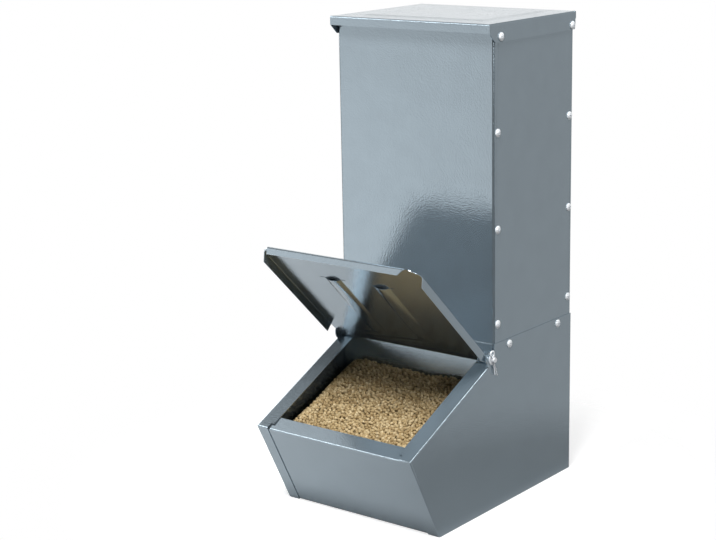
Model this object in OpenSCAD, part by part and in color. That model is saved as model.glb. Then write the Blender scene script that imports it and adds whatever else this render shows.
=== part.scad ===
// Gravity pig feeder in folded sheet steel: a tall hopper screwed into a flared base,
// a lid that swings up on two pivot screws, and a lifting flap over the feed trough.
// X runs to the right, Y to the back and Z up. The origin is on the ground,
// in the middle of the footprint.

/* [Sheet steel] */
// Thickness of every folded sheet
sheet_t = 1.2; // [0.8:0.1:1.8]
// Inside radius of the folds
fold_r = 1.5; // [0.8:0.1:2.5]

/* [Hopper] */
// Width over the two side panels
hopper_w = 300; // [270:1:360]
// Depth from the front panel to the back panel
hopper_d = 229; // [205:1:260]
// Height of the lid's edge above the ground
feeder_h = 771; // [720:1:900]
// Height of the seam where the base laps over the hopper
seam_h = 272; // [268:1:290]
// How far the hopper reaches down inside the base
hopper_lap = 18; // [15:1:22]
// Width of the corner flanges of the front and back panels
corner_flange = 22; // [19:1:28]
// Distance of the corner screws from the front or back face
corner_screw_inset = 10; // [8:0.5:12]
// Height of the lowest corner screws above the seam
corner_screw_start = 30; // [20:1:45]
// Spacing of the corner screws up the hopper
corner_screw_pitch = 151; // [120:1:170]
// Corner screws in each column
corner_screw_count = 3; // [2:1:3]

/* [Lid] */
// Overhang of the lid in front of the hopper
lid_overhang = 16; // [10:1:22]
// Depth of the lid's front lip
lid_lip = 14.5; // [10:0.5:16]
// Depth of the hem that is turned in at the foot of the front lip
lid_hem = 7; // [5:0.5:9]
// Depth of the lid's rear lip
lid_rear_lip = 12; // [8:0.5:12.5]
// Depth of the lid's side flanges
lid_flange = 29; // [27:0.5:36]
// Room between the lid's side flange and the hopper
lid_side_gap = 1.4; // [1.2:0.1:2]
// Room between the lid's rear lip and the hopper
lid_rear_gap = 1.8; // [1.5:0.1:3]
// Height of the raised field in the lid's top
lid_field_rise = 1.2; // [0.8:0.1:3]
// Width of the flat border round the raised field
lid_field_border = 36; // [25:1:60]
// Width of the slope up to the raised field
lid_field_slope = 9; // [5:1:15]
// Distance of the lid's pivot screws from the back of the hopper
pivot_inset = 8; // [7:0.5:9]
// Depth of the pivot screws below the lid's edge
pivot_drop = 22; // [21:0.5:23]
// Distance of the lid's rest screws from the front of the hopper
rest_inset = 15; // [13:0.5:16]
// Depth of the rest screws below the lid's edge
rest_drop = 21; // [19:0.5:23]

/* [Base and trough] */
// Depth of the footprint
foot_d = 382; // [365:1:410]
// How far the trough reaches in front of the hopper
trough_reach = 226; // [205:1:250]
// Height of the trough's front edge
trough_h = 143; // [120:1:146]
// Slope of the trough's rim in degrees
rim_angle = 24.6; // [22:0.1:25]
// Width of the side panels' folded rims
rim_w = 28; // [20:1:32]
// Width of the side panels' folded front edges
front_fold_w = 22; // [16:1:28]
// Length of the rims' front ends, which are as wide as the folded front edges
rim_tip = 14; // [10:1:20]
// Width of the trough front's folded rim
front_rim_w = 27; // [16:1:30]
// How much steeper than the side rims the trough front's rim is, in degrees
front_rim_extra = 3.5; // [0:0.1:4]
// Width of the flanges that join the base's sheets
base_flange = 18; // [12:1:24]
// Height of the throat's lower edge, where the feed flows out
throat_h = 110; // [90:1:130]
// Share of the sheet's thickness that is bevelled off the throat panel's top edge
throat_bevel_share = 0.8; // [0.1:0.1:0.9]
// Height at which the feed chute meets the back panel
chute_h = 228; // [200:1:230]
// Distance of the feed chute's foot behind the hopper's front
chute_foot = 30; // [20:1:45]
// Distance of the base screws from the hopper's front and back
base_screw_inset = 42; // [30:1:60]
// Depth of the base screws below the seam
base_screw_drop = 9; // [8:0.5:10]

/* [Flap and hinge] */
// Angle of the open flap above the horizontal, in degrees
flap_open = 44; // [30:1:60]
// Length of the flap from the hinge rod to its lip
flap_len = 273; // [260:1:290]
// Depth of the flap's front lip
flap_lip = 16; // [12:1:20]
// Inside radius of the fold at the flap's front lip
lip_fold_r = 7; // [3:0.5:8]
// Depth of the flap's side flanges
flap_flange = 14.5; // [8:0.5:16]
// Start of the side flanges, measured from the hinge rod
flap_flange_start = 28; // [25:1:45]
// Cut-off at the flap's front corners
flap_notch = 18; // [10:1:25]
// Room between the flap's side flange and the base
flap_side_gap = 0.9; // [0.5:0.1:2]
// Room between the closed flap and the rim
flap_rest_gap = 0.4; // [0.3:0.1:1]
// Diameter of the hinge rod
rod_d = 8; // [6:0.5:9]
// Distance of the hinge rod in front of the hopper
rod_ahead = 8; // [7.5:0.1:9]
// Radius of the ears that carry the hinge rod
ear_r = 14.5; // [12:0.5:16]
// Width of the hollow ribs under the flap
rib_w = 32; // [18:1:36]
// Depth of the ribs at their open front end
rib_h = 4.5; // [4:0.5:7]
// Distance of each rib from the middle of the flap
rib_x = 47; // [35:1:80]
// Distance of the ribs' open end from the hinge rod
rib_front = 197; // [170:1:205]
// Distance of the ribs' faded end from the hinge rod
rib_back = 34; // [25:1:60]
// Length of the groove across each rib's open end
slit_len = 50; // [40:1:60]
// Width of the groove
slit_w = 1.4; // [1:0.1:2]

/* [Fasteners] */
// Diameter of the screws
screw_d = 6; // [5:0.5:6.5]
// Diameter of the screw heads
head_d = 13; // [11:0.5:14]
// Height of the screw heads
head_h = 3.4; // [2.5:0.1:4]
// Width of the nuts across their flats
nut_flats = 10; // [9:0.5:11]
// Height of the nuts
nut_h = 5; // [4:0.1:6]
// Diameter of the hinge rod's washers
rod_washer_d = 17; // [14:0.5:20]
// Wire diameter of the split pins
pin_wire = 2.4; // [2:0.1:3]
// Length of the split pins below the rod
pin_leg = 24; // [18:1:30]
// Inside diameter of the split pins' eye
pin_eye = 7; // [5:0.5:8]
// Lean of the split pins in degrees
pin_lean = 16; // [0:1:25]

/* [Feed] */
// Height of the feed where it meets the throat
feed_h = 206; // [170:1:215]
// Slope of the feed's surface in degrees
feed_slope = 21; // [15:1:24]

/* [Hidden] */

// Facets of round shapes, of the ribs' bow and of each fold
$fn = 48;
rib_fn = 128;
fold_steps = 6;
dome_steps = 6;
hex = 6;

// How far a cut runs past what it cuts, and how far a folded strip runs into its plate
overrun = 3;
strip_lap = 2;

// Clearances: seats that don't touch, screw holes, hinge pins, and parts that slide past
seat_gap = 0.3;
hole_play = 0.25;
hinge_play = 0.08;
thread_play = 0.05;
pass_gap = 0.35;

// Setback of the side panels' edges from the front and back faces
edge_setback = 2.4;

// How far the rounding of the trough's corner starts outside the two faces that it joins
corner_clear = 0.06;

// Colours
paint = [0.40, 0.46, 0.50];
pale_paint = [0.50, 0.56, 0.60];
zinc = [0.80, 0.81, 0.82];
meal = [0.72, 0.58, 0.36];

// Sheet and folds
half_t = sheet_t / 2;
fold_out = fold_r + sheet_t;

// Planes of the hopper and the base
hopper_half = hopper_w / 2;
base_half = hopper_half + sheet_t;
back_y = foot_d / 2;
foot_y = -foot_d / 2;
hopper_back_y = back_y - sheet_t;
front_y = hopper_back_y - hopper_d;
throat_y = front_y - sheet_t;
seam_z = max(seam_h, chute_h + base_flange + seat_gap + hopper_lap);
hopper_foot_z = seam_z - hopper_lap;
inner_half = hopper_half - sheet_t;

// Lid and its screws
lid_half = hopper_half + lid_side_gap + sheet_t;
lid_front_y = front_y - lid_overhang;
lid_back_y = hopper_back_y + lid_rear_gap + sheet_t;
lid_corner_gap = sheet_t + seat_gap;
pivot_y = hopper_back_y - pivot_inset;
pivot_z = feeder_h - pivot_drop;
rest_y = front_y + rest_inset;
rest_z = feeder_h - rest_drop;
lid_head_x = lid_half + pass_gap;
lid_screw_grip = lid_head_x - inner_half + sheet_t;
lid_washer_t = lid_side_gap - pass_gap;
lid_washer_r = head_d / 2;
lid_swing_r = pivot_drop - sheet_t - pass_gap;
hopper_top_z = pivot_z + sqrt(pow(lid_swing_r, 2) - pow(pivot_inset, 2));

// Trough corner, and the headings of the rim and of the front, in the YZ plane
trough_corner = [front_y - trough_reach, trough_h];
front_lean = atan2(foot_y - trough_corner.x, trough_h);
front_heading = 90 + front_lean;
rim_dir = [cos(rim_angle), sin(rim_angle)];
rim_down = [sin(rim_angle), -cos(rim_angle)];
front_rim_angle = rim_angle + front_rim_extra;
front_rim_dir = [cos(front_rim_angle), sin(front_rim_angle)];
front_rim_sink = front_rim_w * sin(front_rim_extra) + pass_gap;
front_in = [cos(front_lean), sin(front_lean)];

// Hinge rod, knuckle and flap
rod_r = rod_d / 2;
knuckle_in = rod_r + hinge_play;
knuckle_out = knuckle_in + sheet_t;
rod_y = front_y - rod_ahead;
rod_on_rim_z = trough_h + (rod_y - trough_corner.x) * tan(rim_angle);
rod_z = rod_on_rim_z + (knuckle_out + flap_rest_gap) / cos(rim_angle);
rod_washer_t = sheet_t;
pin_r = pin_wire / 2;
pin_x = base_half + rod_washer_t + pin_r + pass_gap;
rod_half = pin_x + rod_r;
flap_half = base_half + flap_side_gap + sheet_t;
leaf_half = hopper_half - flap_side_gap;
leaf_len = ear_r + flap_side_gap + sheet_t;
lip_half = flap_half - flap_notch;
lip_fold_out = lip_fold_r + sheet_t;
slit_depth_share = 0.6;
knuckle_root_share = 0.25;
knuckle_root = knuckle_root_share * knuckle_in;
flap_under_z = -knuckle_out;

// Rim fold of a side panel, which ends below the hinge rod
rim_fold_len = (rod_y - trough_corner.x) / cos(rim_angle);

// Inside of the base
floor_front_y = foot_y + (fold_out + seat_gap) / cos(front_lean);
inner_clear = hopper_half - fold_out - seat_gap;
chute_foot_y = front_y + chute_foot;
chute_heading = atan2(chute_h - sheet_t - half_t, hopper_back_y - half_t - chute_foot_y);

// Screw places as [y, z]
corner_spots = [
    for (y = [front_y + corner_screw_inset, hopper_back_y - corner_screw_inset])
        for (k = [0 : corner_screw_count - 1])
            [y, seam_z + corner_screw_start + k * corner_screw_pitch]
];
base_spots = [
    for (y = [front_y + base_screw_inset, hopper_back_y - base_screw_inset])
        [y, seam_z - base_screw_drop]
];
pivot_spots = [[pivot_y, pivot_z]];
rest_spots = [[rest_y, rest_z]];

// Screw head: height of its rim, radius of its dome, and its cross recess
head_rim_share = 0.25;
head_r = head_d / 2;
head_rim = head_rim_share * head_h;
dome_rise = head_h - head_rim;
dome_r = (pow(dome_rise, 2) + pow(head_r, 2)) / (2 * dome_rise);
recess_w_share = 0.12;
recess_len_share = 0.5;
recess_depth_share = 0.45;
screw_tail_share = 0.3;
screw_tail = screw_tail_share * screw_d;

// Angle between the split pin's two legs, and their thickness against the pin's shank
pin_splay = 14;
pin_leg_share = 0.75;

// Feed: distance to the sheets around it
feed_gap = fold_r / 2;
feed_half = inner_clear - feed_gap;

// Intersection of the line through p with heading a and the line through q with heading b
function meet(p, a, q, b) =
    let (u = [cos(a), sin(a)], v = [cos(b), sin(b)], w = q - p)
    p + (w.x * v.y - w.y * v.x) / (u.x * v.y - u.y * v.x) * u;

// Rounded sheet section along the middle line given by path
function heading(a, b) = atan2(b.y - a.y, b.x - a.x);
function turn(a, b) = b - a - 360 * round((b - a) / 360);
function left_of(h) = [-sin(h), cos(h)];
function fold_stations(path, r) =
    let (last = len(path) - 1)
    concat(
        [[path[0], heading(path[0], path[1])]],
        [for (i = [1 : last - 1])
            let (
                h_in = heading(path[i - 1], path[i]),
                bend = turn(h_in, heading(path[i], path[i + 1])),
                reach = r * tan(abs(bend) / 2),
                centre = path[i] - reach * [cos(h_in), sin(h_in)] + sign(bend) * r * left_of(h_in)
            )
            for (k = [0 : fold_steps])
                let (h = h_in + bend * k / fold_steps)
                [centre - sign(bend) * r * left_of(h), h]],
        [[path[last], heading(path[last - 1], path[last])]]
    );
function sheet_outline(path, inner_r = fold_r) =
    let (stations = fold_stations(path, inner_r + half_t), last = len(stations) - 1)
    concat(
        [for (s = stations) s[0] + half_t * left_of(s[1])],
        [for (i = [last : -1 : 0]) stations[i][0] - half_t * left_of(stations[i][1])]
    );

// Extrusions of a YZ section along X, of an XY section along Z and of an XZ section along Y
module across(x0, x1) {
    translate([x0, 0, 0]) rotate([90, 0, 90]) linear_extrude(x1 - x0) children();
}
module upward(z0, z1) {
    translate([0, 0, z0]) linear_extrude(z1 - z0) children();
}
module lengthwise(y0, y1) {
    translate([0, y1, 0]) rotate([90, 0, 0]) linear_extrude(y1 - y0) children();
}
module both_sides() {
    children();
    mirror([1, 0, 0]) children();
}
module at_spots(spots) {
    for (s = spots) both_sides() translate([0, s.x, s.y]) children();
}

// Holes through both sides at the given [y, z] places
module side_holes(spots, r) {
    for (s = spots)
        translate([-lid_half - overrun, s.x, s.y]) rotate([0, 90, 0])
            cylinder(r = r, h = 2 * (lid_half + overrun));
}
module hopper_holes() {
    side_holes(corner_spots, screw_d / 2 + hole_play);
    side_holes(base_spots, screw_d / 2 + hole_play);
    side_holes(pivot_spots, screw_d / 2 + hole_play);
    side_holes(rest_spots, screw_d / 2 + hole_play);
}

// Front or back panel of the hopper, with its flanges folded towards the inside
module hopper_channel(face_y, inward) {
    flange_x = inner_half - half_t;
    face_mid = face_y + inward * half_t;
    end_y = face_y + inward * corner_flange;
    path = [[-flange_x, end_y], [-flange_x, face_mid], [flange_x, face_mid], [flange_x, end_y]];
    difference() {
        upward(hopper_foot_z, hopper_top_z) polygon(sheet_outline(path));
        hopper_holes();
    }
}
module hopper_front_panel() { color(paint) hopper_channel(front_y, 1); }
module hopper_back_panel() { color(paint) hopper_channel(hopper_back_y, -1); }

// Flat side panel of the hopper, drawn on the right
module hopper_side() {
    difference() {
        translate([inner_half, front_y + edge_setback, hopper_foot_z])
            cube([sheet_t, hopper_d - 2 * edge_setback, hopper_top_z - hopper_foot_z]);
        hopper_holes();
    }
}
module hopper_left_side() { color(paint) mirror([1, 0, 0]) hopper_side(); }
module hopper_right_side() { color(paint) hopper_side(); }

// Domed screw with a cross recess, its head against the plane x = face, pointing inwards
module screw(face, grip) {
    shank = grip + nut_h + screw_tail;
    dome = [for (k = [0 : dome_steps])
        let (a = asin(head_r / dome_r) * (1 - k / dome_steps))
        [dome_r * sin(a), head_h - dome_r + dome_r * cos(a)]];
    translate([face, 0, 0]) rotate([0, 90, 0]) difference() {
        union() {
            rotate_extrude() polygon(concat([[0, 0], [head_r, 0]], dome));
            translate([0, 0, -shank]) cylinder(d = screw_d, h = shank + head_rim);
        }
        for (a = [0, 90])
            rotate(a) translate([0, 0, head_h]) cube(
                [recess_w_share * head_d, recess_len_share * head_d, 2 * recess_depth_share * head_h],
                center = true);
    }
}
module nut(face, grip) {
    translate([face - grip - nut_h, 0, 0]) rotate([0, 90, 0]) difference() {
        cylinder(d = nut_flats / cos(180 / hex), h = nut_h, $fn = hex);
        translate([0, 0, -overrun]) cylinder(r = screw_d / 2 + thread_play, h = nut_h + 2 * overrun);
    }
}
module washer(face, thickness, r, hole_r) {
    translate([face, 0, 0]) rotate([0, 90, 0]) difference() {
        cylinder(r = r, h = thickness);
        translate([0, 0, -overrun]) cylinder(r = hole_r, h = thickness + 2 * overrun);
    }
}

module hopper_screws() { color(zinc) at_spots(corner_spots) screw(hopper_half, 2 * sheet_t); }
module hopper_nuts() { color(zinc) at_spots(corner_spots) nut(hopper_half, 2 * sheet_t); }
module base_screws() { color(zinc) at_spots(base_spots) screw(base_half, 2 * sheet_t); }
module base_nuts() { color(zinc) at_spots(base_spots) nut(base_half, 2 * sheet_t); }

module lid_pivot_screws() { color(zinc) at_spots(pivot_spots) screw(lid_head_x, lid_screw_grip); }
module lid_pivot_nuts() { color(zinc) at_spots(pivot_spots) nut(lid_head_x, lid_screw_grip); }
module lid_rest_screws() { color(zinc) at_spots(rest_spots) screw(lid_head_x, lid_screw_grip); }
module lid_rest_nuts() { color(zinc) at_spots(rest_spots) nut(lid_head_x, lid_screw_grip); }
module lid_washer() { washer(hopper_half, lid_washer_t, lid_washer_r, screw_d / 2 + thread_play); }
module lid_pivot_washers() { color(zinc) at_spots(pivot_spots) lid_washer(); }
module lid_rest_washers() { color(zinc) at_spots(rest_spots) lid_washer(); }

// Lid: a top plate with front and rear lips, side flanges and a shallow raised field
module lid_section(lip_foot) {
    polygon(sheet_outline(concat(lip_foot, [
        [lid_front_y + half_t, feeder_h - half_t],
        [lid_back_y - half_t, feeder_h - half_t],
        [lid_back_y - half_t, feeder_h - lid_rear_lip]
    ])));
}
module lid_middle() {
    hem_z = feeder_h - lid_lip + half_t;
    hem_path = [[lid_front_y + lid_hem, hem_z], [lid_front_y + half_t, hem_z]];
    across(-lid_half + fold_out, lid_half - fold_out) lid_section(hem_path);
}
module lid_lips() {
    intersection() {
        across(-lid_half, lid_half) lid_section([[lid_front_y + half_t, feeder_h - lid_lip]]);
        for (y = [lid_front_y, lid_back_y])
            translate([-lid_half, y - fold_out, feeder_h - lid_flange])
                cube([2 * lid_half, 2 * fold_out, lid_flange + overrun]);
    }
}
module lid_flange_strip() {
    flange_x = lid_half - half_t;
    intersection() {
        lengthwise(lid_front_y + lid_corner_gap, lid_back_y - lid_corner_gap) polygon(sheet_outline([
            [flange_x, feeder_h - lid_flange],
            [flange_x, feeder_h - half_t],
            [lid_half - fold_out - strip_lap, feeder_h - half_t]
        ]));
        across(0, lid_half + overrun) polygon([
            [lid_front_y, feeder_h + overrun],
            [lid_front_y, feeder_h - lid_lip],
            [front_y, feeder_h - lid_flange],
            [hopper_back_y, feeder_h - lid_flange],
            [lid_back_y, feeder_h - lid_rear_lip],
            [lid_back_y, feeder_h + overrun]
        ]);
    }
}
module lid_field(z, skirt) {
    hull() for (step = [0, 1]) {
        inset = lid_field_border + step * lid_field_slope;
        level = z + step * lid_field_rise;
        translate([-lid_half + inset, lid_front_y + inset, level - skirt])
            cube([2 * (lid_half - inset), lid_back_y - lid_front_y - 2 * inset, skirt]);
    }
}
module rest_notch() {
    notch_r = screw_d / 2 + pass_gap;
    side_holes(rest_spots, notch_r);
    translate([-lid_half - overrun, rest_y - notch_r, rest_z - lid_flange])
        cube([2 * (lid_half + overrun), 2 * notch_r, lid_flange]);
}
module top_lid() {
    color(pale_paint) difference() {
        union() {
            lid_middle();
            lid_lips();
            both_sides() lid_flange_strip();
            lid_field(feeder_h, half_t);
        }
        lid_field(feeder_h - sheet_t, half_t);
        side_holes(pivot_spots, screw_d / 2 + hinge_play);
        rest_notch();
    }
}

// Left side panel of the base: a flared plate with an ear, and a folded band along its rim and front
module rounded_edge(a, inset, r) {
    centre = inset + r;
    arc = [for (k = [0 : fold_steps])
        let (turned = 90 * k / fold_steps)
        [centre - r * cos(turned), centre - r * sin(turned)]];
    far = [[hopper_w, inset], [hopper_w, foot_d], [inset, foot_d]];
    translate([-base_half, trough_corner.x, trough_corner.y]) rotate([a - 90, 0, 0])
        upward(-foot_d, foot_d) polygon(concat(arc, far));
}
module base_pan(inset, r) {
    intersection() {
        rounded_edge(rim_angle, inset, r);
        rounded_edge(front_heading, inset, r);
    }
}
module base_plate_outline() {
    inset = fold_out + strip_lap / 2;
    rim_start = trough_corner + inset * rim_down;
    front_start = trough_corner + inset * front_in;
    plate_back = back_y - edge_setback;
    polygon([
        meet(front_start, front_heading, [0, 0], 0),
        [plate_back, 0],
        [plate_back, seam_z],
        [throat_y, seam_z],
        meet(rim_start, rim_angle, [throat_y, 0], 90),
        meet(rim_start, rim_angle, front_start, front_heading)
    ]);
    translate([rod_y, rod_z]) circle(r = ear_r);
}
// Front edge with the tip of the rim; the corner between them is rounded, from just outside both faces
module front_band_outline() {
    depth = fold_out + strip_lap;
    outside = trough_corner - overrun * (rim_down + front_in);
    inside = trough_corner + depth * (rim_down + front_in);
    arc_depth = fold_out - corner_clear;
    centre = meet(
        trough_corner + arc_depth * rim_down, rim_angle, trough_corner + arc_depth * front_in, front_heading
    );
    arc = [for (k = [0 : fold_steps])
        let (a = front_lean + (rim_angle - 90 - front_lean) * k / fold_steps)
        centre - fold_out * [cos(a), sin(a)]];
    tip_end = trough_corner + rim_tip * rim_dir;
    polygon(concat([meet(outside, front_heading, [0, 0], 0)], arc, [
        tip_end - 2 * overrun * rim_down, tip_end + depth * rim_down,
        inside, meet(inside, front_heading, [0, 0], 0)
    ]));
}
module rim_band_outline() {
    depth = fold_out + strip_lap;
    start = trough_corner + (rim_tip - strip_lap) * rim_dir;
    end = trough_corner + rim_fold_len * rim_dir;
    polygon([
        start - 2 * overrun * rim_down, end - 2 * overrun * rim_down,
        end + depth * rim_down, start + depth * rim_down
    ]);
}
module base_band() {
    intersection() {
        union() {
            across(-base_half - overrun, -base_half + front_fold_w) front_band_outline();
            across(-base_half - overrun, -base_half + rim_w) rim_band_outline();
        }
        difference() {
            base_pan(0, fold_out);
            base_pan(sheet_t, fold_r);
        }
    }
}
module base_side() {
    difference() {
        union() {
            across(-base_half, -hopper_half) base_plate_outline();
            base_band();
        }
        side_holes(base_spots, screw_d / 2 + hole_play);
        side_holes([[rod_y, rod_z]], rod_r + hinge_play);
    }
}
module base_left_side() { color(paint) base_side(); }
module base_right_side() { color(paint) mirror([1, 0, 0]) base_side(); }

// Trough front, tucked behind the side panels' folded edges
module trough_front() {
    inset = sheet_t + half_t;
    front_line = trough_corner + inset * front_in;
    rim_line = trough_corner + (inset + front_rim_sink) * rim_down;
    top = meet(rim_line, front_rim_angle, front_line, front_heading);
    bottom = meet(front_line, front_heading, [0, inset], 0);
    color(paint) across(-inner_clear, inner_clear) polygon(sheet_outline([
        bottom + [base_flange, 0], bottom, top, top + front_rim_w * front_rim_dir
    ]));
}

// Back panel of the base, flanged forwards below the hopper
module base_back() {
    flange_x = hopper_half - half_t;
    face_mid = back_y - half_t;
    end_y = back_y - base_flange;
    path = [[-flange_x, end_y], [-flange_x, face_mid], [flange_x, face_mid], [flange_x, end_y]];
    color(paint) {
        upward(0, hopper_foot_z - seat_gap) polygon(sheet_outline(path));
        translate([-inner_clear, hopper_back_y, hopper_foot_z - strip_lap])
            cube([2 * inner_clear, sheet_t, hopper_lap + strip_lap]);
    }
}

// Floor of the base, with its long edges turned up along the side panels
module floor_edge() {
    flange_x = hopper_half - half_t;
    lengthwise(floor_front_y, back_y - base_flange - seat_gap) polygon(sheet_outline([
        [flange_x, base_flange], [flange_x, half_t], [hopper_half - fold_out - strip_lap, half_t]
    ]));
}
module base_floor() {
    color(paint) {
        translate([-inner_clear, floor_front_y, 0])
            cube([2 * inner_clear, hopper_back_y - floor_front_y, sheet_t]);
        both_sides() floor_edge();
    }
}

// Throat panel: the strip under the hopper's front that holds the feed back
module throat_panel() {
    flange_x = hopper_half - half_t;
    face_mid = throat_y + half_t;
    end_y = throat_y + base_flange;
    path = [[-flange_x, end_y], [-flange_x, face_mid], [flange_x, face_mid], [flange_x, end_y]];
    lap_z = hopper_foot_z - strip_lap;
    bevel = sheet_t * throat_bevel_share;
    color(paint) {
        upward(throat_h, hopper_foot_z - seat_gap) polygon(sheet_outline(path));
        across(-inner_clear, inner_clear) polygon([
            [front_y, lap_z], [front_y, seam_z], [throat_y + bevel, seam_z],
            [throat_y, seam_z - bevel], [throat_y, lap_z]
        ]);
    }
}

// Sloped chute that leads the feed from the back panel down to the trough
module feed_chute() {
    top_y = hopper_back_y - half_t;
    foot_z = sheet_t + half_t;
    color(paint) across(-inner_clear + sheet_t, inner_clear - sheet_t) polygon(sheet_outline([
        [top_y, chute_h + base_flange], [top_y, chute_h],
        [chute_foot_y, foot_z], [chute_foot_y - base_flange, foot_z]
    ]));
}

// Flap, drawn level with its hinge rod on the X axis, then raised to its angle
module flap_pose() {
    translate([0, rod_y, rod_z]) rotate([-flap_open, 0, 0]) children();
}
module flap_plate() {
    wide_x = flap_half - fold_out;
    edge_y = -flap_len + lip_fold_out;
    corner = [
        [leaf_half, -knuckle_root], [leaf_half, -leaf_len], [wide_x, -leaf_len],
        [wide_x, -flap_len + flap_notch], [lip_half, edge_y]
    ];
    upward(flap_under_z, flap_under_z + sheet_t) polygon(concat(
        corner, [for (i = [len(corner) - 1 : -1 : 0]) [-corner[i].x, corner[i].y]]
    ));
}
module flap_lip_strip() {
    plate_mid = flap_under_z + half_t;
    lip_y = -flap_len + half_t;
    end_z = flap_under_z + sheet_t - flap_lip;
    intersection() {
        across(-lip_half, lip_half) polygon(sheet_outline([
            [-flap_len + lip_fold_out + strip_lap, plate_mid], [lip_y, plate_mid], [lip_y, end_z]
        ], lip_fold_r));
        lengthwise(-flap_len - overrun, -flap_len + lip_fold_out + strip_lap) polygon([
            [-lip_half, 0], [lip_half, 0],
            [lip_half + end_z / 2, end_z], [-lip_half - end_z / 2, end_z]
        ]);
    }
}
module flap_flange_strip() {
    flange_x = flap_half - half_t;
    end_z = flap_under_z + sheet_t - flap_flange;
    front_end = -flap_len + flap_notch;
    intersection() {
        lengthwise(front_end, -flap_flange_start) polygon(sheet_outline([
            [flange_x, end_z], [flange_x, flap_under_z + half_t],
            [flap_half - fold_out - strip_lap, flap_under_z + half_t]
        ]));
        across(0, flap_half + overrun) polygon([
            [front_end, 0], [-flap_flange_start, 0],
            [-flap_flange_start, end_z], [front_end + flap_flange, end_z]
        ]);
    }
}
// Solid wedge of a rib, deep at its front end and flush with the plate at its back end
module rib_wedge(start_y, lift) {
    bow_r = (pow(rib_w / 2, 2) + pow(rib_h, 2)) / (2 * rib_h);
    translate([rib_x, 0, flap_under_z + lift]) hull() {
        lengthwise(start_y, start_y + slit_w) intersection() {
            translate([0, bow_r - rib_h]) circle(r = bow_r, $fn = rib_fn);
            translate([-rib_w / 2, -rib_h]) square([rib_w, rib_h + sheet_t]);
        }
        translate([-rib_w / 2, -rib_back, 0]) cube([rib_w, slit_w, sheet_t]);
    }
}
// Hollow of a rib below the plate, open at the front
module rib_hollow() {
    intersection() {
        rib_wedge(-rib_front - overrun, sheet_t);
        translate([rib_x - rib_w, -flap_len, flap_under_z - 2 * rib_h])
            cube([2 * rib_w, flap_len, 2 * rib_h]);
    }
}
module rib_slit() {
    depth = slit_depth_share * sheet_t;
    translate([rib_x - slit_len / 2, -rib_front - slit_w, flap_under_z - overrun])
        cube([slit_len, slit_w, overrun + depth]);
}
module trough_flap() {
    color(paint) flap_pose() difference() {
        union() {
            flap_plate();
            flap_lip_strip();
            both_sides() {
                flap_flange_strip();
                rib_wedge(-rib_front, 0);
            }
            rotate([0, 90, 0]) cylinder(r = knuckle_out, h = 2 * leaf_half, center = true);
        }
        rotate([0, 90, 0]) cylinder(r = knuckle_in, h = 2 * (leaf_half + overrun), center = true);
        both_sides() {
            rib_hollow();
            rib_slit();
        }
    }
}

// Hinge rod with its washers and split pins
module pin_pose() {
    translate([pin_x, rod_y, rod_z]) rotate([pin_lean, 0, 0]) children();
}
module flap_hinge_rod() {
    color(zinc) difference() {
        translate([-rod_half, rod_y, rod_z]) rotate([0, 90, 0]) cylinder(d = rod_d, h = 2 * rod_half);
        both_sides() pin_pose() cylinder(d = pin_wire + 2 * hole_play, h = 2 * rod_d, center = true);
    }
}
module hinge_washers() {
    color(zinc) both_sides() translate([0, rod_y, rod_z])
        washer(base_half, rod_washer_t, rod_washer_d / 2, rod_r + hole_play);
}
module split_pin() {
    eye_r = pin_eye / 2 + pin_r;
    neck_z = rod_r + seat_gap + pin_r;
    leg_r = pin_leg_share * pin_r;
    translate([0, 0, neck_z + eye_r]) rotate([0, 90, 0])
        rotate_extrude() translate([eye_r, 0]) circle(r = pin_r);
    translate([0, 0, -neck_z]) cylinder(r = pin_r, h = 2 * neck_z);
    for (side = [-1, 1])
        translate([0, 0, -rod_r]) rotate([180 + side * pin_splay / 2, 0, 0])
            cylinder(r = leg_r, h = pin_leg + side * pin_wire);
}
module hinge_split_pins() { color(zinc) both_sides() pin_pose() split_pin(); }

// Feed lying in the trough and under the throat
module feed_fill() {
    top_back = [throat_y - feed_gap, feed_h];
    front_line = trough_corner + (2 * sheet_t + feed_gap) * front_in;
    bed = [0, 2 * sheet_t + feed_gap];
    chute_line = [chute_foot_y, sheet_t + half_t]
        + (half_t + feed_gap) * [-sin(chute_heading), cos(chute_heading)];
    color(meal) across(-feed_half, feed_half) polygon([
        top_back,
        meet(top_back, feed_slope, front_line, front_heading),
        meet(front_line, front_heading, bed, 0),
        meet(chute_line, chute_heading, bed, 0),
        meet(chute_line, chute_heading, [0, throat_h - feed_gap], 0),
        [top_back.x, throat_h - feed_gap]
    ]);
}

hopper_front_panel();
hopper_back_panel();
hopper_left_side();
hopper_right_side();
hopper_screws();
hopper_nuts();
top_lid();
lid_pivot_screws();
lid_pivot_washers();
lid_pivot_nuts();
lid_rest_screws();
lid_rest_washers();
lid_rest_nuts();
base_left_side();
base_right_side();
trough_front();
base_back();
base_floor();
throat_panel();
feed_chute();
base_screws();
base_nuts();
trough_flap();
flap_hinge_rod();
hinge_washers();
hinge_split_pins();
feed_fill();
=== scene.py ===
"""Looks of a sheet-steel pig feeder: painted panels, zinc-plated fasteners and loose feed pellets."""

import math

import bpy
import numpy as np
from mathutils import Matrix, Vector


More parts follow.
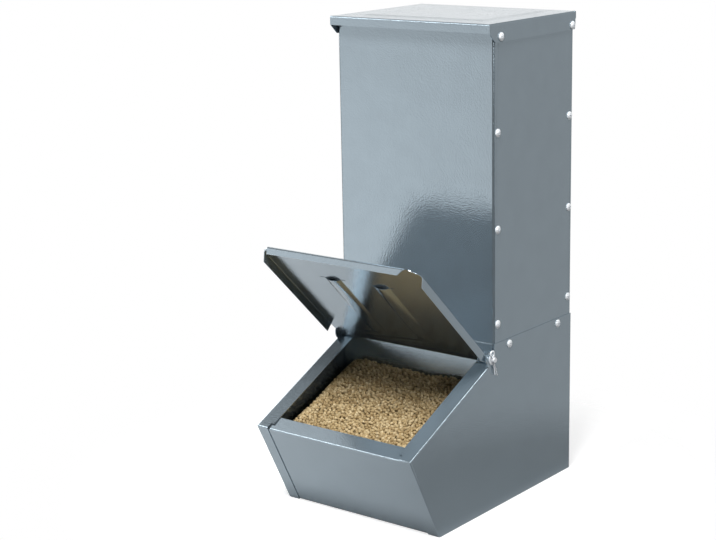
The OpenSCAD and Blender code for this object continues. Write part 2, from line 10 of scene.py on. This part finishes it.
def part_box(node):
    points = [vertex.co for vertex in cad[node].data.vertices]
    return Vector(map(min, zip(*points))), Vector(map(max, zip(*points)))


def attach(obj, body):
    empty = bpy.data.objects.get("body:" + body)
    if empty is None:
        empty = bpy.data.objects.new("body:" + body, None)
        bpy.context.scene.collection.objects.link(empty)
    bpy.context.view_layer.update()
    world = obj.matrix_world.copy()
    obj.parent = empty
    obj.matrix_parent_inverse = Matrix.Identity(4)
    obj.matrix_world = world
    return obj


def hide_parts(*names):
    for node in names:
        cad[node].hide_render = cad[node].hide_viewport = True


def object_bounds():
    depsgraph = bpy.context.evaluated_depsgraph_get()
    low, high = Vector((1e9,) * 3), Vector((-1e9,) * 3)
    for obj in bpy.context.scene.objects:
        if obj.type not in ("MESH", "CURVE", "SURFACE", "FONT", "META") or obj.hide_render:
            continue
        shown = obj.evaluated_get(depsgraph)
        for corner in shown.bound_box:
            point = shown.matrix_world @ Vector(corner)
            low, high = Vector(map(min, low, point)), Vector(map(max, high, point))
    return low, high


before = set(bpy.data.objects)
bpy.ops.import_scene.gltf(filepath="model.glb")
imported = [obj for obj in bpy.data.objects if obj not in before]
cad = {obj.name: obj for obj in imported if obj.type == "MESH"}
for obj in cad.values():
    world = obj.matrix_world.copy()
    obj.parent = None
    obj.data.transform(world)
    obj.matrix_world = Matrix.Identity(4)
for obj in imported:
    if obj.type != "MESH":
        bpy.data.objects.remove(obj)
cad_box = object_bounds()

# Units, axes and colours
MM = 0.001
Y = 1
Z = 2
WHITE = (1.0, 1.0, 1.0, 1.0)

# Endings of the names of the zinc-plated nodes
ZINC_ENDINGS = ("screws", "nuts", "washers", "rod", "pins")

# Camera: the point that it aims at, its angles in degrees, its distance and its lens
AIM = Vector((-0.2127, 0.0808, 0.3180))
AZIMUTH = 38.25
ELEVATION = 13.667
ROLL = -1.092
DISTANCE = 2.9815
LENS_MM = 86.25
SENSOR_MM = 36.0

# Surroundings: brightness of each part of the studio, and shares that dim it
FRONT_LIGHT = 0.15
LEFT_LIGHT = 1.36
BACK_LEFT_LIGHT = 1.0
BACK_RIGHT_LIGHT = 0.53
CEILING_LEFT_LIGHT = 1.15
CEILING_LIGHT = 0.16
HIGH_FRONT_SHARE = 0.5
FAR_LEFT_SHARE = 0.15
DIFFUSE_SHARE = 0.22

# Surroundings: where one part passes into the next, along one axis of the direction
LEFT_TO_FRONT_X = (-0.72, -0.18)
LOW_TO_HIGH_FRONT_Z = (-0.25, 0.15)
BACK_LEFT_TO_RIGHT_X = (-0.4, 0.4)
FRONT_TO_BACK_Y = (-0.1, 0.4)
FAR_LEFT_TO_LEFT_X = (-0.94, -0.80)
CEILING_LEFT_TO_RIGHT_X = (-0.66, -0.44)
CEILING_FRONT_TO_BACK_Y = (0.14, 0.24)
WALLS_TO_CEILING_Z = (0.35, 0.60)

# Floor: radii of its solid middle and of its faded edge, greys at places along X that fall to the right
# as painted shade, glow to the camera
FLOOR_SOLID_R = 0.33
FLOOR_FADE_R = 0.62
FLOOR_SIDES = 128
FLOOR_SPAN = 0.3
# The darker greys towards +X are painted shade, which the base side mirrors.
FLOOR_GREYS_AND_PAINTED_SHADE = ((-0.25, 0.76), (0.13, 0.50), (0.17, 0.28))
FLOOR_GLOW = 0.68
FLOOR_ROUGHNESS = 0.9

# Lamps: place, aim, size in metres and power in watts
MIDDLE = (cad_box[0] + cad_box[1]) / 2
LAMPS = {
    "key": (Vector((0.5, -1.45, 2.7)), MIDDLE, (0.8, 0.8), 98.0),
    "strip": (Vector((-1.43, -1.40, 1.59)), Vector((0.0, -0.25, 0.2)), (1.6, 0.36), 12.0),
    "top": (Vector((0.95, 0.4, 2.4)), Vector((0.3, 0.0, 0.2)), (0.6, 0.6), 10.0),
    "fill": (Vector((2.2, -0.6, 1.0)), MIDDLE, (1.0, 1.0), 11.0),
    "left_fill": (Vector((-2.2, 0.5, 1.0)), MIDDLE, (1.0, 1.0), 12.0),
}
MIRRORED_ONLY_LAMP = "strip"

# Noise: the range that most of its values lie in, and its usual detail
NOISE_RANGE = (0.3, 0.7)
NOISE_DETAIL = 3.0

# Paint: mottled colour and gloss, orange peel, and the slow sway of thin sheet
PAINT_COLOUR = (0.335, 0.402, 0.450, 1.0)
PAINT_METALLIC = 0.82
PAINT_ROUGHNESS = 0.12
MOTTLE_SCALE = 30.0
MOTTLE_DETAIL = 4.0
MOTTLE_SHARE = 0.02
GLOSS_SCALE = 55.0
GLOSS_SPREAD = 0.02
PEEL_SCALE = 520.0
PEEL_DETAIL = 1.0
PEEL_DEPTH = 0.18 * MM
SWAY_SCALE = 9.0
SWAY_DETAIL = 0.0
SWAY_DEPTH = 0.5 * MM

# Zinc plate: clouded colour and gloss, fine grain
ZINC_DULL = (0.88, 0.92, 0.96, 1.0)
ZINC_BRIGHT = (0.94, 0.97, 1.0, 1.0)
ZINC_METALLIC = 0.2
ZINC_ROUGHNESS = (0.26, 0.40)
CLOUD_SCALE = 420.0
GRAIN_SCALE = 1800.0
GRAIN_DETAIL = 2.0
GRAIN_DEPTH = 0.02 * MM

# Edges of the sheets and of the fasteners
SHEET_BEVEL = 0.28 * MM
FASTENER_BEVEL = 0.15 * MM
BEVEL_ANGLE = 35.0
BEVEL_SEGMENTS = 2
WELD_REACH = 0.002 * MM
LARGE_FACE_WEIGHT = 100

# Pellets: tans from dark to pale, darker flecks, rough skin
TAN_STOPS = (0.0, 0.5, 1.0)
TANS = ((0.40, 0.285, 0.135, 1.0), (0.56, 0.425, 0.225, 1.0), (0.70, 0.565, 0.340, 1.0))
FLECK_SCALE = 900.0
FLECK_STOPS = (0.35, 0.55)
FLECK_COLOUR = (0.70, 0.66, 0.58, 1.0)
SKIN_SCALE = 1300.0
SKIN_DEPTH = 0.25 * MM
PELLET_ROUGHNESS = 0.85

# Pellets: sizes, with the profile in shares of half the length and of the radius
PELLET_R = 2.4 * MM
PELLET_HALF = (1.9 * MM, 3.0 * MM)
PELLET_GIRTH_SHARES = (0.92, 1.06)
PELLET_PROFILE_SHARES = ((-1.0, 0.66), (-0.84, 0.97), (0.84, 0.97), (1.0, 0.66))
PELLET_SIDES = 8
PELLET_TILT = 22.0

# Pellets: places, in layers at depths below the heap's surface
SEED = 7
PELLET_SPACING = 4.1 * MM
PELLET_CLEAR = 2 * PELLET_R
LAYER_DEPTHS = (1.4 * PELLET_R, 0.15 * PELLET_R)
TROUGH_TRIES = 9000
OUTFLOW_TRIES = 6000
NEAR_CELLS = range(-2, 3)

# Heap: slopes at the sides, unevenness with its waves in radians per metre, outflow behind the throat
SIDE_DROP = 32 * MM
SIDE_DROP_W = 40 * MM
SWELL_HEIGHT = 1.6 * MM
SWELL_WAVES = (31.0, 27.0)
SWELL_START = 1.3
RIPPLE_HEIGHT = 1.0 * MM
RIPPLE_WAVES = (74.0, -55.0)
RIPPLE_START = 0.4
OUTFLOW_DROP_SHARE = 0.3
OUTFLOW_UNEVEN_SHARE = 0.5
OUTFLOW_DEPTH = 2.0 * MM
WALL_GAP = 1.5 * MM

# Bed below the pellets: depth, rings across the trough and steps along it, grain in dark colours that
# are partly painted shade
BED_DEPTH = 4.5 * MM
BED_RINGS = 57
BED_STEPS = 33
BED_SCALE = 330.0
BED_STOPS = (0.35, 0.65)
# Dark browns: meal dust, partly painted shade of the pellets deeper in the heap.
BED_DUST_AND_SHADE_COLOURS = ((0.16, 0.11, 0.045, 1.0), (0.34, 0.245, 0.115, 1.0))
BED_GRAIN_DEPTH = 2.0 * MM
BED_ROUGHNESS = 0.95

# Sockets of the mix node, which its names don't tell apart
MIX_FACTOR = 0
MIX_VALUES = (2, 3)
MIX_VALUE_OUT = 0
MIX_COLOURS = (6, 7)
MIX_COLOUR_OUT = 2


def material(name):
    """A new node material, its tree and its Principled shader."""
    made = bpy.data.materials.new(name)
    made.use_nodes = True
    tree = made.node_tree
    return made, tree, tree.nodes["Principled BSDF"]


def node(tree, kind, **settings):
    made = tree.nodes.new(kind)
    for key, value in settings.items():
        setattr(made, key, value)
    return made


def fill(target, **values):
    """Sets a node's inputs by name, with _ for a space."""
    for key, value in values.items():
        target.inputs[key.replace("_", " ")].default_value = value
    return target


def plug(tree, source, socket):
    """Sets a socket to a number, or links an output to it."""
    if isinstance(source, float):
        socket.default_value = source
    else:
        tree.links.new(source, socket)


def object_place(tree):
    return node(tree, "ShaderNodeTexCoord").outputs["Object"]


def axes(tree, vector):
    """The X, Y and Z of a vector."""
    made = node(tree, "ShaderNodeSeparateXYZ")
    tree.links.new(vector, made.inputs["Vector"])
    return made.outputs


def noise(tree, place, scale, detail=NOISE_DETAIL):
    made = fill(node(tree, "ShaderNodeTexNoise"), Scale=scale, Detail=detail)
    tree.links.new(place, made.inputs["Vector"])
    return made.outputs["Fac"]


def map_range(tree, value, span, low, high, kind="SMOOTHSTEP"):
    """Maps a span of values to low and high, which hold beyond its ends."""
    made = node(tree, "ShaderNodeMapRange", interpolation_type=kind)
    fill(made, From_Min=span[0], From_Max=span[1], To_Min=low, To_Max=high)
    tree.links.new(value, made.inputs["Value"])
    return made.outputs["Result"]


def bump(tree, height, depth, under=None):
    made = fill(node(tree, "ShaderNodeBump"), Strength=1.0, Distance=depth)
    tree.links.new(height, made.inputs["Height"])
    if under:
        tree.links.new(under, made.inputs["Normal"])
    return made.outputs["Normal"]


def ramp(tree, value, stops, colours):
    made = node(tree, "ShaderNodeValToRGB")
    elements = made.color_ramp.elements
    for stop in stops[len(elements):]:
        elements.new(stop)
    for element, stop, colour in zip(elements, stops, colours):
        element.position = stop
        element.color = colour
    tree.links.new(value, made.inputs["Fac"])
    return made.outputs["Color"]


def mix_value(tree, factor, a, b):
    made = node(tree, "ShaderNodeMix", data_type="FLOAT")
    for source, socket in zip((factor, a, b), (MIX_FACTOR, *MIX_VALUES)):
        plug(tree, source, made.inputs[socket])
    return made.outputs[MIX_VALUE_OUT]


def multiply_colours(tree, *colours):
    made = node(tree, "ShaderNodeMix", data_type="RGBA", blend_type="MULTIPLY")
    made.inputs[MIX_FACTOR].default_value = 1.0
    for colour, socket in zip(colours, MIX_COLOURS):
        tree.links.new(colour, made.inputs[socket])
    return made.outputs[MIX_COLOUR_OUT]


def scaled(tree, value, factor):
    made = node(tree, "ShaderNodeMath", operation="MULTIPLY")
    tree.links.new(value, made.inputs[0])
    plug(tree, factor, made.inputs[1])
    return made.outputs[0]


def shade(colour, factor):
    red, green, blue, alpha = colour
    return (red * factor, green * factor, blue * factor, alpha)


def paint_material():
    """Glossy metallic powder coat: faint mottling, orange peel and the slow sway of thin sheet."""
    made, tree, shader = material("powder_coat")
    place = object_place(tree)
    mottle = noise(tree, place, MOTTLE_SCALE, MOTTLE_DETAIL)
    tints = (shade(PAINT_COLOUR, 1 - MOTTLE_SHARE), shade(PAINT_COLOUR, 1 + MOTTLE_SHARE))
    tree.links.new(ramp(tree, mottle, NOISE_RANGE, tints), shader.inputs["Base Color"])
    glossy = PAINT_ROUGHNESS - GLOSS_SPREAD
    dull = PAINT_ROUGHNESS + GLOSS_SPREAD
    gloss = map_range(tree, noise(tree, place, GLOSS_SCALE), NOISE_RANGE, glossy, dull, "LINEAR")
    tree.links.new(gloss, shader.inputs["Roughness"])
    sway = bump(tree, noise(tree, place, SWAY_SCALE, SWAY_DETAIL), SWAY_DEPTH)
    peel = bump(tree, noise(tree, place, PEEL_SCALE, PEEL_DETAIL), PEEL_DEPTH, sway)
    tree.links.new(peel, shader.inputs["Normal"])
    fill(shader, Metallic=PAINT_METALLIC)
    return made


def zinc_material():
    """Bright zinc plate with slight clouding and fine grain."""
    made, tree, shader = material("zinc_plate")
    place = object_place(tree)
    cloud = noise(tree, place, CLOUD_SCALE)
    tint = ramp(tree, cloud, NOISE_RANGE, (ZINC_DULL, ZINC_BRIGHT))
    tree.links.new(tint, shader.inputs["Base Color"])
    gloss = map_range(tree, cloud, NOISE_RANGE, *ZINC_ROUGHNESS, "LINEAR")
    tree.links.new(gloss, shader.inputs["Roughness"])
    grain = bump(tree, noise(tree, place, GRAIN_SCALE, GRAIN_DETAIL), GRAIN_DEPTH)
    tree.links.new(grain, shader.inputs["Normal"])
    fill(shader, Metallic=ZINC_METALLIC)
    return made


def pellet_material():
    """Pressed meal: each pellet has its own tan, with flecks and a rough skin."""
    made, tree, shader = material("pressed_feed")
    place = object_place(tree)
    each = node(tree, "ShaderNodeNewGeometry").outputs["Random Per Island"]
    tan = ramp(tree, each, TAN_STOPS, TANS)
    flecks = ramp(tree, noise(tree, place, FLECK_SCALE), FLECK_STOPS, (FLECK_COLOUR, WHITE))
    tree.links.new(multiply_colours(tree, tan, flecks), shader.inputs["Base Color"])
    tree.links.new(bump(tree, noise(tree, place, SKIN_SCALE), SKIN_DEPTH), shader.inputs["Normal"])
    fill(shader, Roughness=PELLET_ROUGHNESS)
    return made


def bed_material():
    """Meal dust and pellets below the top layers, their dark colour partly painted shade."""
    made, tree, shader = material("feed_bed")
    grain = noise(tree, object_place(tree), BED_SCALE)
    # The bed's dark browns are meal dust, partly painted shade of the pellets deeper down.
    tree.links.new(ramp(tree, grain, BED_STOPS, BED_DUST_AND_SHADE_COLOURS), shader.inputs["Base Color"])
    tree.links.new(bump(tree, grain, BED_GRAIN_DEPTH), shader.inputs["Normal"])
    fill(shader, Roughness=BED_ROUGHNESS)
    return made


def dress(names, look, bevel):
    """Gives CAD nodes a material, smooth folds and small rounded edges."""
    for name in names:
        piece = cad[name]
        piece.data.materials.clear()
        piece.data.materials.append(look)
        piece.data.shade_smooth()
        weld = piece.modifiers.new("weld", "WELD")
        weld.merge_threshold = WELD_REACH
        edge = piece.modifiers.new("edge", "BEVEL")
        edge.width = bevel
        edge.segments = BEVEL_SEGMENTS
        edge.limit_method = "ANGLE"
        edge.angle_limit = math.radians(BEVEL_ANGLE)
        weigh = piece.modifiers.new("weigh", "WEIGHTED_NORMAL")
        weigh.mode = "FACE_AREA"
        weigh.weight = LARGE_FACE_WEIGHT
        weigh.keep_sharp = True


def mesh_piece(name, points, faces, look):
    mesh = bpy.data.meshes.new(name)
    mesh.from_pydata(points, [], faces)
    mesh.validate()
    mesh.materials.append(look)
    piece = bpy.data.objects.new(name, mesh)
    bpy.context.scene.collection.objects.link(piece)
    return piece


def loft(rings):
    """Points and faces of a closed body through rings that have equally many points."""
    count = len(rings[0])
    points = [point for ring in rings for point in ring]
    last = len(points) - count
    faces = [tuple(range(count - 1, -1, -1))]
    for start in range(0, last, count):
        for k in range(count):
            a = start + k
            b = start + (k + 1) % count
            faces.append((a, b, b + count, a + count))
    faces.append(tuple(range(last, len(points))))
    return points, faces


class Feed:
    """Corners of the CAD feed solid in the YZ plane, and the heap's surface over them."""

    def __init__(self):
        corners = np.array([v.co for v in cad["feed_fill"].data.vertices])
        low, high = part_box("feed_fill")
        self.half_w = high.x
        self.floor_z = low.z
        self.top_back = corners[corners[:, Z].argmax()]
        self.top_front = corners[corners[:, Y].argmin()]
        on_floor = corners[corners[:, Z] < low.z + WALL_GAP]
        self.floor_front_y = on_floor[:, Y].min()
        self.floor_back_y = on_floor[:, Y].max()
        self.chute_back_y = high.y
        behind = corners[corners[:, Y] > high.y - WALL_GAP]
        self.sill_z = behind[:, Z].max()
        run = self.top_back[Y] - self.top_front[Y]
        self.slope = (self.top_back[Z] - self.top_front[Z]) / run
        self.throat_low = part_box("throat_panel")[0]

    def side_drop(self, x):
        near = np.clip((np.abs(x) - (self.half_w - SIDE_DROP_W)) / SIDE_DROP_W, 0, 1)
        return SIDE_DROP * near ** 2

    def unevenness(self, x, y):
        """Shallow swell and ripple of poured feed."""
        swell = np.sin(SWELL_WAVES[0] * x + SWELL_START) * np.sin(SWELL_WAVES[1] * y)
        ripple = np.sin(RIPPLE_WAVES[0] * x + RIPPLE_WAVES[1] * y + RIPPLE_START)
        return SWELL_HEIGHT * swell + RIPPLE_HEIGHT * ripple

    def trough_z(self, x, y):
        level = self.top_back[Z] - self.slope * (self.top_back[Y] - y)
        return level - self.side_drop(x) + self.unevenness(x, y)

    def outflow_z(self, x, y):
        level = self.sill_z - OUTFLOW_DEPTH
        drop = OUTFLOW_DROP_SHARE * self.side_drop(x)
        return level - drop + OUTFLOW_UNEVEN_SHARE * self.unevenness(x, y)

    def front_y(self, z):
        share = (z - self.floor_z) / (self.top_front[Z] - self.floor_z)
        return self.floor_front_y + share * (self.top_front[Y] - self.floor_front_y)

    def chute_y(self, z):
        share = (z - self.floor_z) / (self.sill_z - self.floor_z)
        return self.floor_back_y + share * (self.chute_back_y - self.floor_back_y)


def spaced_points(rng, x_range, y_range, tries):
    """Random points in a rectangle that keep the pellets' distance, found by dart throwing on a grid."""
    cell = PELLET_SPACING / math.sqrt(2)
    taken = {}
    kept = []
    for x, y in zip(rng.uniform(*x_range, tries), rng.uniform(*y_range, tries)):
        column = int(x // cell)
        row = int(y // cell)
        near = (taken.get((column + i, row + j)) for i in NEAR_CELLS for j in NEAR_CELLS)
        if any(p and math.hypot(p[0] - x, p[1] - y) < PELLET_SPACING for p in near):
            continue
        taken[column, row] = (x, y)
        kept.append((x, y))
    return kept


def unit_pellet():
    """Points and faces of a short cylinder along X with rounded ends, of half length and radius 1."""
    angles = [2 * math.pi * k / PELLET_SIDES for k in range(PELLET_SIDES)]
    rings = []
    for x, radius in PELLET_PROFILE_SHARES:
        rings.append([(x, radius * math.cos(angle), radius * math.sin(angle)) for angle in angles])
    points, faces = loft(rings)
    return np.array(points), faces


def pellet_places(feed, rng):
    """Centres of the pellets in layers, over the trough and over the outflow behind the throat."""
    reach = feed.half_w - PELLET_CLEAR
    across = (-reach, reach)
    along_trough = (feed.top_front[Y], feed.top_back[Y] - PELLET_CLEAR)
    along_outflow = (feed.throat_low.y + 2 * PELLET_CLEAR, feed.chute_back_y)
    places = []
    for depth in LAYER_DEPTHS:
        for x, y in spaced_points(rng, across, along_trough, TROUGH_TRIES):
            z = feed.trough_z(x, y) - depth
            if y > feed.front_y(z) + PELLET_CLEAR:
                places.append((x, y, z))
        for x, y in spaced_points(rng, across, along_outflow, OUTFLOW_TRIES):
            z = feed.outflow_z(x, y) - depth - PELLET_R
            if y < feed.chute_y(z) - PELLET_CLEAR:
                places.append((x, y, z))
    return places


def pellets(feed, look):
    """All loose pellets as one piece, smooth around and flat at the ends."""
    rng = np.random.default_rng(SEED)
    unit, unit_faces = unit_pellet()
    points = []
    faces = []
    for place in pellet_places(feed, rng):
        half = rng.uniform(*PELLET_HALF)
        width = PELLET_R * rng.uniform(*PELLET_GIRTH_SHARES)
        height = PELLET_R * rng.uniform(*PELLET_GIRTH_SHARES)
        size = Matrix.Diagonal((half, width, height))
        turn = Matrix.Rotation(rng.uniform(0, 2 * math.pi), 3, "Z")
        tilt = Matrix.Rotation(rng.normal(0, math.radians(PELLET_TILT)), 3, "Y")
        spin = Matrix.Rotation(rng.uniform(0, 2 * math.pi), 3, "X")
        placed = unit @ np.array(turn @ tilt @ spin @ size).T + np.array(place)
        start = len(points)
        points.extend(placed.tolist())
        faces.extend(tuple(i + start for i in face) for face in unit_faces)
    piece = mesh_piece("feed_pellets", points, faces, look)
    for face in piece.data.polygons:
        face.use_smooth = len(face.vertices) < PELLET_SIDES
    return piece


def bed_ring(feed, x):
    """Outline of the bed in the YZ plane at one x: trough surface, floor, outflow surface."""
    steps = np.linspace(0, 1, BED_STEPS)
    throat_y = feed.top_back[Y]
    sill = feed.throat_low.z - WALL_GAP - BED_DEPTH
    ring = []
    for t in steps:
        y = throat_y + t * (feed.top_front[Y] - throat_y)
        z = feed.trough_z(x, y) - BED_DEPTH
        ring.append((x, max(y, feed.front_y(z) + WALL_GAP), z))
    ring.append((x, feed.floor_front_y + WALL_GAP, feed.floor_z))
    ring.append((x, feed.floor_back_y - WALL_GAP, feed.floor_z))
    for t in steps:
        y = feed.chute_back_y + t * (throat_y - feed.chute_back_y)
        z = min(feed.outflow_z(x, y) - BED_DEPTH - PELLET_R, sill)
        ring.append((x, min(y, feed.chute_y(z) - WALL_GAP), z))
    return ring


def bed(feed, look):
    """Closed heap below the pellets."""
    reach = feed.half_w - WALL_GAP
    points, faces = loft([bed_ring(feed, x) for x in np.linspace(-reach, reach, BED_RINGS)])
    return mesh_piece("feed_bed", points, faces, look)


def photo_camera():
    azimuth, elevation, roll = (math.radians(angle) for angle in (AZIMUTH, ELEVATION, ROLL))
    back = Vector((
        math.sin(azimuth) * math.cos(elevation),
        -math.cos(azimuth) * math.cos(elevation),
        math.sin(elevation),
    ))
    level = Vector((math.cos(azimuth), math.sin(azimuth), 0.0))
    upright = back.cross(level)
    right = level * math.cos(roll) + upright * math.sin(roll)
    up = upright * math.cos(roll) - level * math.sin(roll)
    data = bpy.data.cameras.new("photo_camera")
    data.lens = LENS_MM
    data.sensor_width = SENSOR_MM
    camera = bpy.data.objects.new("photo_camera", data)
    turn = Matrix((right, up, back)).transposed().to_4x4()
    camera.matrix_world = Matrix.Translation(AIM + back * DISTANCE) @ turn
    bpy.context.scene.collection.objects.link(camera)
    bpy.context.scene.camera = camera


def wall_light(tree, heading):
    """Brightness of the walls: high on the left, fair at the back, low in front and on the far left."""
    low_front = map_range(tree, heading["X"], LEFT_TO_FRONT_X, LEFT_LIGHT, FRONT_LIGHT)
    rise = map_range(tree, heading["Z"], LOW_TO_HIGH_FRONT_Z, 1.0, HIGH_FRONT_SHARE)
    back = map_range(tree, heading["X"], BACK_LEFT_TO_RIGHT_X, BACK_LEFT_LIGHT, BACK_RIGHT_LIGHT)
    behind = map_range(tree, heading["Y"], FRONT_TO_BACK_Y, 0.0, 1.0)
    around = mix_value(tree, behind, scaled(tree, low_front, rise), back)
    edge = map_range(tree, heading["X"], FAR_LEFT_TO_LEFT_X, FAR_LEFT_SHARE, 1.0)
    return scaled(tree, around, edge)


def ceiling_light(tree, heading):
    """Brightness overhead: high at the left in front, low elsewhere."""
    front = map_range(tree, heading["X"], CEILING_LEFT_TO_RIGHT_X, CEILING_LEFT_LIGHT, CEILING_LIGHT)
    behind = map_range(tree, heading["Y"], CEILING_FRONT_TO_BACK_Y, 0.0, 1.0)
    return mix_value(tree, behind, front, CEILING_LIGHT)


def studio_world():
    """White to the camera, and walls and a ceiling of several brightnesses to everything else."""
    world = bpy.data.worlds.new("studio")
    bpy.context.scene.world = world
    world.use_nodes = True
    tree = world.node_tree
    heading = axes(tree, node(tree, "ShaderNodeTexCoord").outputs["Generated"])
    overhead = map_range(tree, heading["Z"], WALLS_TO_CEILING_Z, 0.0, 1.0)
    studio = mix_value(tree, overhead, wall_light(tree, heading), ceiling_light(tree, heading))
    rays = node(tree, "ShaderNodeLightPath").outputs
    lit = mix_value(tree, rays["Is Diffuse Ray"], studio, scaled(tree, studio, DIFFUSE_SHARE))
    strength = mix_value(tree, rays["Is Camera Ray"], lit, 1.0)
    background = fill(tree.nodes["Background"], Color=WHITE)
    tree.links.new(strength, background.inputs["Strength"])


def studio_floor():
    """Floor that fades into the white around it, with painted shade on the right, where the base side
    mirrors it.
    """
    made, tree, shader = material("floor")
    place = object_place(tree)
    across = map_range(tree, axes(tree, place)["X"], (-FLOOR_SPAN, FLOOR_SPAN), 0.0, 1.0, "LINEAR")
    stops = [(x / FLOOR_SPAN + 1) / 2 for x, grey in FLOOR_GREYS_AND_PAINTED_SHADE]
    greys_and_shade = [(grey, grey, grey, 1.0) for x, grey in FLOOR_GREYS_AND_PAINTED_SHADE]
    # Painted shade: the floor's grey falls towards the right, so the base side mirrors a darker floor
    # there.
    tree.links.new(ramp(tree, across, stops, greys_and_shade), shader.inputs["Base Color"])
    fill(shader, Roughness=FLOOR_ROUGHNESS, Specular_IOR_Level=0.0, Emission_Color=WHITE)
    seen = node(tree, "ShaderNodeLightPath").outputs["Is Camera Ray"]
    tree.links.new(scaled(tree, seen, FLOOR_GLOW), shader.inputs["Emission Strength"])
    radius = node(tree, "ShaderNodeVectorMath", operation="LENGTH")
    tree.links.new(place, radius.inputs[0])
    fade = map_range(tree, radius.outputs["Value"], (FLOOR_SOLID_R, FLOOR_FADE_R), 1.0, 0.0)
    tree.links.new(fade, shader.inputs["Alpha"])
    bpy.ops.mesh.primitive_circle_add(vertices=FLOOR_SIDES, radius=FLOOR_FADE_R, fill_type="NGON")
    floor = bpy.context.object
    floor.name = "floor"
    floor.data.materials.append(made)


def lights():
    for name, (place, aim, size, power) in LAMPS.items():
        data = bpy.data.lights.new(name, "AREA")
        data.shape = "RECTANGLE"
        data.size, data.size_y = size
        data.energy = power
        lamp = bpy.data.objects.new(name, data)
        lamp.location = place
        lamp.rotation_euler = (aim - place).to_track_quat("-Z", "Y").to_euler()
        lamp.visible_diffuse = name != MIRRORED_ONLY_LAMP
        bpy.context.scene.collection.objects.link(lamp)


zinc_nodes = [name for name in cad if name.endswith(ZINC_ENDINGS)]
paint_nodes = [name for name in cad if name not in zinc_nodes and name != "feed_fill"]

photo_camera()
dress(paint_nodes, paint_material(), SHEET_BEVEL)
dress(zinc_nodes, zinc_material(), FASTENER_BEVEL)

heap = Feed()
for made_piece in (bed(heap, bed_material()), pellets(heap, pellet_material())):
    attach(made_piece, "feeder_body")
    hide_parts("feed_fill")

studio_world()
studio_floor()
lights()
bpy.context.scene.view_settings.view_transform = "Standard"
